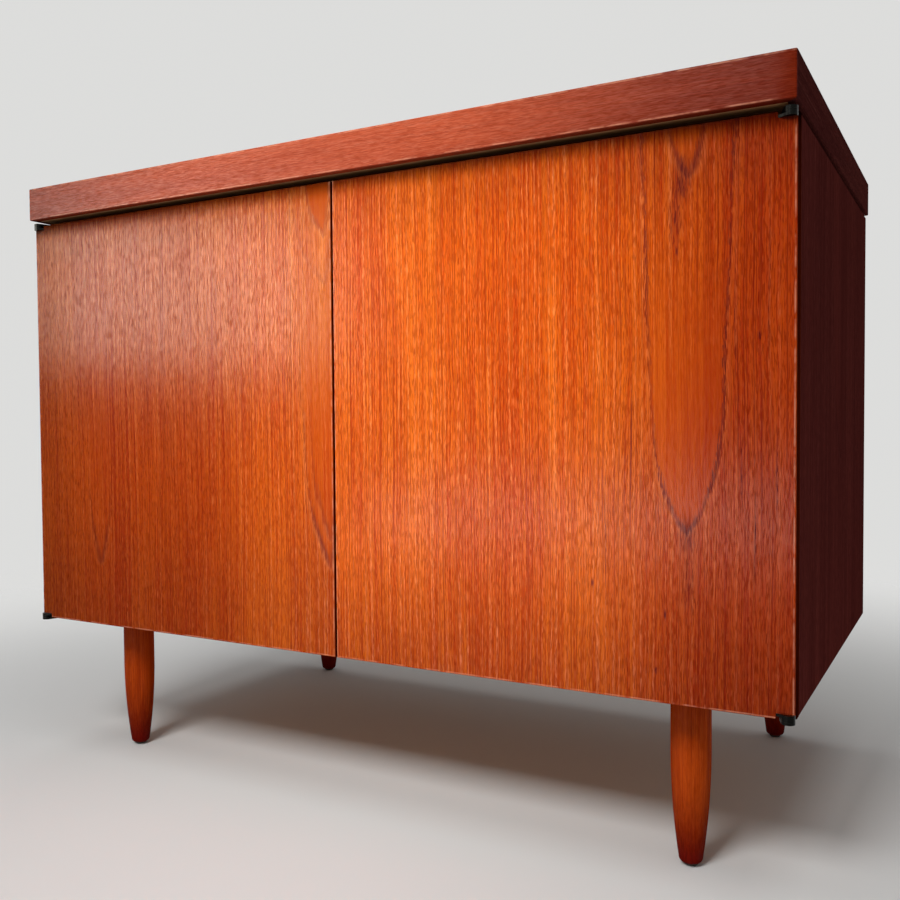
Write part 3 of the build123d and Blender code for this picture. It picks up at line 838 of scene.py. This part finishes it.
@dataclass(frozen=True)
class Screw:
    """A slotted screw head, slightly domed."""

    radius: float = 3.2 * MM
    crown: float = 0.7 * MM
    slot: float = 0.8 * MM
    slot_depth: float = 0.55 * MM
    rim_share: float = 0.84
    arc_steps: int = 10
    first_turn: float = 0.7
    turn_step: float = 1.9

    def add(self, mesh: bmesh.types.BMesh, place: Vector, normal: Vector, turn: float) -> None:
        """Add one head to a mesh.

        Args:
            mesh: The mesh that it goes into.
            place: The middle of its foot on the surface.
            normal: The direction that it faces.
            turn: How far its slot is turned, in radians.
        """
        rim = self.radius * self.rim_share
        start = math.asin(self.slot / 2 / rim)
        sweep = math.pi - 2 * start
        spread = [start + sweep * step / self.arc_steps for step in range(self.arc_steps + 1)]
        angles = spread + [angle + math.pi for angle in spread]
        frame_turn = normal.to_track_quat("Z", "Y").to_matrix() @ Matrix.Rotation(turn, 3, "Z")

        def ring(radius: float, height: float, at: Iterable[float]) -> List[bmesh.types.BMVert]:
            """Points of a circle at one height."""
            local = [Vector((radius * math.cos(a), radius * math.sin(a), height)) for a in at]
            return [mesh.verts.new(place + frame_turn @ point) for point in local]

        foot = ring(self.radius, 0.0, angles)
        top = ring(rim, self.crown, angles)
        half = self.arc_steps + 1
        ends = (0, half - 1, half, 2 * half - 1)
        floor = ring(rim, self.crown - self.slot_depth, [angles[end] for end in ends])
        mesh.faces.new(top[:half])
        mesh.faces.new(top[half:])
        mesh.faces.new(floor)
        mesh.faces.new(list(reversed(foot)))
        for first in list(range(half - 1)) + list(range(half, 2 * half - 1)):
            mesh.faces.new((foot[first], foot[first + 1], top[first + 1], top[first]))
        for left, right in ((0, 1), (2, 3)):
            mesh.faces.new((top[ends[right]], top[ends[left]], floor[left], floor[right]))
        for left, right in ((1, 2), (3, 0)):
            mesh.faces.new((foot[ends[left]], foot[ends[right]], floor[right], floor[left]))
        for end, sign in zip(range(4), (1, -1, 1, -1)):
            corner = (foot[ends[end]], top[ends[end]], floor[end])
            mesh.faces.new(corner if sign > 0 else tuple(reversed(corner)))


Spot = Tuple[Sequence[float], Sequence[float]]

SIDES = ("left", "right")
LEVELS = ("top", "bottom")
LEGS = ("front_left_leg", "front_right_leg", "back_left_leg", "back_right_leg")
LID_FACES = ("lid_board", "lid_front_lipping", "lid_back_lipping")
DOOR_HINGES = tuple(
    f"{side}_{level}_hinge_{piece}" for side in SIDES for level in LEVELS for piece in ("arm", "leaf")
)
# What shows the sheen lamps: lacquer and the door hinges
SHINY = ("left_door", "right_door") + LID_FACES + LEGS + DOOR_HINGES


@dataclass
class SubAssembly:
    """A group of pieces that share a place on the table."""

    finishes: Finishes

    def dress(self, nodes: Iterable[str], finish: Union[Teak, Metal, Paint, Fibre]) -> None:
        """Give CAD nodes a finish.

        Args:
            nodes: Their names.
            finish: The finish.
        """
        material = self.finishes.made(finish)
        for name in nodes:
            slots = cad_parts[name].data.materials
            slots.clear()
            slots.append(material)
            LOG.info("dressed %s in %s", name, material.name)

    def screws(
        self,
        name: str,
        body: str,
        spots: Iterable[Spot],
        slot: str,
        screw: Screw = Screw(),
    ) -> None:
        """Add the screws of one piece as one object.

        Args:
            name: The object's name.
            body: The body that it rides on.
            spots: The place and the direction of each head.
            slot: The record's slot for the finish.
            screw: The head.
        """
        mesh = bmesh.new()
        for count, (place, normal) in enumerate(spots):
            screw.add(mesh, Vector(place), Vector(normal), screw.first_turn + screw.turn_step * count)
        bmesh.ops.recalc_face_normals(mesh, faces=mesh.faces)
        data = bpy.data.meshes.new(name)
        mesh.to_mesh(data)
        mesh.free()
        finish = {"lid_hinge_brass": self.finishes.brass, "hinge_metal": self.finishes.hinge}
        data.materials.append(self.finishes.made(finish.get(slot, self.finishes.zinc)))
        piece = bpy.data.objects.new(name, data)
        bpy.context.scene.collection.objects.link(piece)
        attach(piece, body)
        LOG.info("built %s", name)


@dataclass
class Carcass(SubAssembly):
    """Panels, shelf and leg plates of the cabinet."""

    nail: Screw = Screw(radius=2.2 * MM, crown=0.5 * MM, slot=0.5 * MM, slot_depth=0.3 * MM)
    nail_margin: float = 9 * MM
    nail_count: int = 8
    plate_half: float = 22 * MM
    plate_inset: float = 3.8 * MM

    def build(self) -> None:
        """Dress the panels and add their fastenings."""
        finishes = self.finishes
        self.dress(("left_side_panel", "right_side_panel"), finishes.side)
        self.dress(("work_deck",), finishes.deck)
        self.dress(("centre_partition",), finishes.inner)
        self.dress(("bottom_panel", "shelf"), finishes.inner_level)
        self.dress(("back_panel",), finishes.back)
        self.dress(("shelf_pins", "leg_plates"), finishes.zinc)
        self.dress(("foot_glides",), finishes.glide)
        self.back_nails()
        self.plate_screws()

    def back_nails(self) -> None:
        """Small pins round the back panel."""
        low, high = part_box("back_panel")
        left, right = low.x + self.nail_margin, high.x - self.nail_margin
        spots: List[Spot] = []
        for step in range(self.nail_count):
            x = left + (right - left) * step / (self.nail_count - 1)
            for z in (low.z + self.nail_margin, high.z - self.nail_margin):
                spots.append(((x, high.y, z), (0, 1, 0)))
        for step in range(1, self.nail_count // 2):
            z = low.z + (high.z - low.z) * step / (self.nail_count // 2)
            spots += [((x, high.y, z), (0, 1, 0)) for x in (left, right)]
        self.screws("back_panel_pins", "cabinet", spots, "zinc_steel", self.nail)

    def plate_screws(self) -> None:
        """Four screws in each leg plate."""
        low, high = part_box("leg_plates")
        half = self.plate_half
        reach = half - self.plate_inset
        spots: List[Spot] = []
        for x in (low.x + half, high.x - half):
            for y in (low.y + half, high.y - half):
                for aside in (-reach, reach):
                    spots += [((x + aside, y + back, low.z), (0, 0, -1)) for back in (-reach, reach)]
        self.screws("leg_plate_screws", "cabinet", spots, "zinc_steel")


@dataclass
class Legs(SubAssembly):
    """The four turned legs."""

    names: Tuple[str, ...] = LEGS

    def build(self) -> None:
        """Dress the legs."""
        self.dress(self.names, self.finishes.leg)


@dataclass
class Doors(SubAssembly):
    """Both doors, their pivot hinges, catches and the spool rack."""

    strip: float = 2.5 * MM
    strip_middle: float = 6 * MM
    screw_steps: Tuple[float, float] = (10 * MM, 34 * MM)
    rack_inset: float = 14 * MM
    strike_inset: float = 6 * MM
    strike_screw: Screw = Screw(radius=2.4 * MM, crown=0.12 * MM, slot=0.6 * MM, slot_depth=0.1 * MM)

    def build(self) -> None:
        """Dress the doors and their fittings, and add the screws."""
        finishes = self.finishes
        self.dress(("left_door",), finishes.left_door)
        self.dress(("right_door",), finishes.right_door)
        for side in SIDES:
            for level in LEVELS:
                self.hinge(side, level)
            self.strike(side)
        self.dress(("door_hinge_pins",), finishes.hinge)
        self.dress(("magnet_catches",), finishes.catch)
        self.dress(("door_pads",), finishes.felt)
        self.dress(("spool_rack",), finishes.inner_level)
        self.dress(("spool_pegs",), finishes.beech)
        self.rack_screws()

    def hinge(self, side: str, level: str) -> None:
        """Dress one pivot hinge and add the screws of its two strips.

        Args:
            side: "left" or "right".
            level: "top" or "bottom".
        """
        names = [f"{side}_{level}_hinge_{piece}" for piece in ("arm", "leaf")]
        self.dress(names, self.finishes.hinge)
        facing = 1 if level == "top" else -1
        outwards = 1 if side == "right" else -1
        low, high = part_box(names[0])
        middle = high.x - self.strip_middle if side == "left" else low.x + self.strip_middle
        face = high.z if facing > 0 else low.z
        spots = [((middle, high.y - step, face), (0, 0, facing)) for step in self.screw_steps]
        self.screws(f"{names[0]}_screws", "cabinet", spots, "hinge_metal")
        low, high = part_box(names[1])
        far = low.x if outwards > 0 else high.x
        face = low.z + self.strip if facing > 0 else high.z - self.strip
        middle = high.y - self.strip_middle
        spots = [((far + outwards * step, middle, face), (0, 0, facing)) for step in self.screw_steps]
        self.screws(f"{names[1]}_screws", f"{side}_door", spots, "hinge_metal")

    def strike(self, side: str) -> None:
        """Dress one strike plate and add its screws.

        Args:
            side: "left" or "right".
        """
        name = f"{side}_strike_plate"
        self.dress((name,), self.finishes.zinc)
        low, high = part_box(name)
        z = (low.z + high.z) / 2
        ends = (low.x + self.strike_inset, high.x - self.strike_inset)
        spots = [((x, high.y, z), (0, 1, 0)) for x in ends]
        self.screws(f"{name}_screws", f"{side}_door", spots, "zinc_steel", self.strike_screw)

    def rack_screws(self) -> None:
        """Four screws in the spool rack."""
        low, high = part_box("spool_rack")
        spots: List[Spot] = []
        for x in (low.x + self.rack_inset, high.x - self.rack_inset):
            for z in (low.z + self.rack_inset, high.z - self.rack_inset):
                spots.append(((x, high.y, z), (0, 1, 0)))
        self.screws("spool_rack_screws", "right_door", spots, "zinc_steel")


@dataclass
class Lid(SubAssembly):
    """The lid, its pads and its two hinges."""

    leaf: float = 2.2 * MM
    screw_aside: float = 28 * MM
    screw_back: float = 9 * MM
    screw_stagger: float = 8 * MM
    flat: Screw = Screw(radius=3.0 * MM, crown=0.45 * MM, slot=0.8 * MM, slot_depth=0.35 * MM)

    def build(self) -> None:
        """Dress the lid and add the hinge screws."""
        finishes = self.finishes
        self.dress(("lid_board",), finishes.lid_top)
        self.dress(("lid_front_lipping", "lid_back_lipping"), finishes.lid_front)
        self.dress(("lid_left_lipping", "lid_right_lipping"), finishes.lid_end)
        self.dress(("lid_battens",), finishes.inner_level)
        self.dress(("lid_pads",), finishes.felt)
        self.dress(("lid_hinge_pins",), finishes.brass)
        for side in SIDES:
            self.hinge(side)

    def hinge(self, side: str) -> None:
        """Dress one lid hinge and add three screws to each leaf.

        Args:
            side: "left" or "right".
        """
        for piece, body, facing in (("base", "cabinet", 1), ("flap", "lid", -1)):
            name = f"{side}_lid_hinge_{piece}"
            self.dress((name,), self.finishes.brass)
            low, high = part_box(name)
            middle = (low.x + high.x) / 2
            face = low.z + self.leaf if facing > 0 else high.z - self.leaf
            spots: List[Spot] = []
            for aside in (-1, 0, 1):
                back = low.y + self.screw_back + (1 - abs(aside)) * self.screw_stagger
                spots.append(((middle + aside * self.screw_aside, back, face), (0, 0, facing)))
            self.screws(f"{name}_screws", body, spots, "lid_hinge_brass", self.flat)


@dataclass
class Lift(SubAssembly):
    """The machine platform on its parallel arms."""

    plate: float = 2.5 * MM
    inset: float = 8 * MM
    flange: float = 3 * MM
    bracket_web: float = 6 * MM
    bracket_spots: Tuple[Tuple[float, float], ...] = (
        (30 * MM, -10 * MM), (30 * MM, 10 * MM), (58 * MM, 0.0),
    )

    def build(self) -> None:
        """Dress the lift and add its screws."""
        finishes = self.finishes
        steel = (
            "left_lift_plate", "right_lift_plate", "upper_lift_arms", "lower_lift_arms",
            "lift_torsion_tube", "platform_brackets", "lift_lock_plate",
        )
        self.dress(steel, finishes.enamel)
        self.dress(("lift_lock_plunger",), finishes.knob)
        self.dress(("machine_platform",), finishes.inner_level)
        for side, facing in (("left", 1), ("right", -1)):
            self.plate_screws(side, facing)
        self.bracket_screws()

    def plate_screws(self, side: str, facing: int) -> None:
        """Four screws in one lift plate.

        Args:
            side: "left" or "right".
            facing: 1 where the plate faces +X.
        """
        name = f"{side}_lift_plate"
        low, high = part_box(name)
        face = low.x + self.plate if facing > 0 else high.x - self.plate
        spots: List[Spot] = []
        for y in (low.y + self.inset, high.y - self.inset):
            for z in (low.z + self.inset, high.z - self.inset):
                spots.append(((face, y, z), (facing, 0, 0)))
        self.screws(f"{name}_screws", "cabinet", spots, "zinc_steel")

    def bracket_screws(self) -> None:
        """Three screws under each bracket's flange."""
        low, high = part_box("platform_brackets")
        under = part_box("machine_platform")[0].z - self.flange
        middle = (low.y + high.y) / 2
        spots: List[Spot] = []
        for end, inwards in ((low.x + self.bracket_web, 1), (high.x - self.bracket_web, -1)):
            for aside, back in self.bracket_spots:
                spots.append(((end + inwards * aside, middle + back, under), (0, 0, -1)))
        self.screws("platform_bracket_screws", "platform", spots, "zinc_steel")


@dataclass
class Lamp:
    """A soft square lamp that faces a point. A sheen lamp shows only as a reflection in shiny pieces."""

    name: str
    place: Point
    aim: Point
    width: float
    height: float
    power: float
    spread: float = 180.0
    tint: Colour = (1.0, 1.0, 1.0)
    sheen_only: bool = False

    def build(self) -> None:
        """Add the lamp."""
        data = bpy.data.lights.new(self.name, "AREA")
        data.shape = "RECTANGLE"
        data.size = self.width
        data.size_y = self.height
        data.energy = self.power
        data.color = self.tint
        data.spread = math.radians(self.spread)
        lamp = bpy.data.objects.new(self.name, data)
        if self.sheen_only:
            lamp.visible_diffuse = False
            shown = bpy.data.collections.new(f"{self.name}_shown")
            for name in SHINY:
                shown.objects.link(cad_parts[name])
            lamp.light_linking.receiver_collection = shown
        lamp.location = self.place
        lamp.rotation_euler = (Vector(self.aim) - Vector(self.place)).to_track_quat("-Z", "Y").to_euler()
        bpy.context.scene.collection.objects.link(lamp)


@dataclass
class Studio:
    """Floor, background, lamps and the camera at the photograph's viewing angle."""

    floor_size: float = 8.0
    floor_fade: Tuple[float, float] = (0.8, 2.2)
    floor_glow: Tuple[float, float] = (0.5, 1.9)
    glow_colour: Colour = (0.42, 0.42, 0.415)
    floor_colour: Colour = (0.68, 0.68, 0.67)
    floor_lift: float = 1.04
    floor_cloud: float = 3.0
    backdrop: Colour = (0.72, 0.72, 0.71)
    ambient: float = 0.22
    lens: float = 38.45
    sensor: float = 36.0
    eye: Point = (0.6383, -1.1464, 0.4468)
    yaw: float = 29.186
    pitch: float = -1.876
    roll: float = -0.41
    lamps: List[Lamp] = field(default_factory=lambda: [
        Lamp("front_softbox", (0.02, -1.65, 1.70), (0.02, -0.27, 0.50), 0.8, 0.6, 5.0, spread=60.0),
        Lamp("left_softbox", (-1.40, -1.50, 0.84), (-0.27, -0.27, 0.60), 0.80, 0.45, 45.0,
             tint=(1.0, 0.95, 0.86), sheen_only=True),
        Lamp("low_softbox", (-0.30, -1.90, 0.17), (0.25, -0.27, 0.35), 1.30, 0.12, 12.5, sheen_only=True),
        Lamp("top_softbox", (0.0, -0.2, 2.6), (0.0, 0.0, 0.0), 2.6, 2.2, 30.0),
    ])

    def build(self) -> None:
        """Set the stage."""
        bpy.context.scene.view_settings.view_transform = "Standard"
        self.floor()
        self.world()
        for lamp in self.lamps:
            lamp.build()
        self.camera()

    def floor(self) -> None:
        """Add the pale floor."""
        half = self.floor_size / 2
        data = bpy.data.meshes.new("floor")
        rim = [(-half, -half, 0), (half, -half, 0), (half, half, 0), (-half, half, 0)]
        data.from_pydata(rim, [], [(0, 1, 2, 3)])
        recipe = Recipe(bpy.data.materials.new("floor"))
        x, y, z = recipe.place()
        cloud = recipe.noise(recipe.vector(x * self.floor_cloud, y * self.floor_cloud, z), 3.0)
        pale = tuple(channel * self.floor_lift for channel in self.floor_colour)
        colour = recipe.blend(self.floor_colour, pale, cloud)
        out = (x * x + y * y) ** 0.5
        near = out.step(self.floor_fade[1], self.floor_fade[0])
        under = recipe.node("ShaderNodeNewGeometry", output="Backfacing")
        glow = recipe.blend((0.0, 0.0, 0.0), self.glow_colour, out.step(*self.floor_glow))
        sockets = {
            "Base Color": colour,
            "Roughness": 0.8,
            "Specular IOR Level": 0.1,
            "Emission Color": glow,
            "Emission Strength": 1.0,
            "Alpha": near * (1.0 - under),
        }
        data.materials.append(recipe.surface(sockets))
        floor = bpy.data.objects.new("floor", data)
        bpy.context.scene.collection.objects.link(floor)

    def world(self) -> None:
        """Light all round softly, with a pale background behind."""
        world = bpy.data.worlds.new("studio")
        bpy.context.scene.world = world
        recipe = Recipe(world)
        camera, glossy, through = (
            recipe.node("ShaderNodeLightPath", output=f"Is {kind} Ray")
            for kind in ("Camera", "Glossy", "Transmission")
        )
        soft, pale = (
            recipe.node("ShaderNodeBackground", None, {"Color": (*colour, 1.0), "Strength": strength})
            for colour, strength in (((1.0, 1.0, 1.0), self.ambient), (self.backdrop, 1.0))
        )
        seen = camera.most(glossy).most(through)
        mix = recipe.node("ShaderNodeMixShader", None, {0: seen, 1: soft, 2: pale})
        recipe.node("ShaderNodeOutputWorld", None, {"Surface": mix})

    def camera(self) -> None:
        """Add the camera."""
        yaw, pitch, roll = (math.radians(angle) for angle in (self.yaw, self.pitch, self.roll))
        level_out = math.cos(pitch)
        forward = Vector((-math.sin(yaw) * level_out, math.cos(yaw) * level_out, math.sin(pitch)))
        level = forward.cross(Vector((0, 0, 1))).normalized()
        upright = level.cross(forward)
        right = math.cos(roll) * level + math.sin(roll) * upright
        up = math.cos(roll) * upright - math.sin(roll) * level
        data = bpy.data.cameras.new("camera")
        data.sensor_width = self.sensor
        data.lens = self.lens
        camera = bpy.data.objects.new("camera", data)
        turned = Matrix((right, up, -forward)).transposed().to_4x4()
        camera.matrix_world = Matrix.Translation(self.eye) @ turned
        bpy.context.scene.collection.objects.link(camera)
        bpy.context.scene.camera = camera


def main() -> None:
    """Build every sub-assembly in order and set the stage."""
    logging.basicConfig(level=logging.INFO, format="%(message)s")
    finishes = Finishes()
    for group in (Carcass, Legs, Doors, Lid, Lift):
        group(finishes).build()
        LOG.info("finished %s", group.__name__)
    Studio().build()


if __name__ == "__main__":
    main()
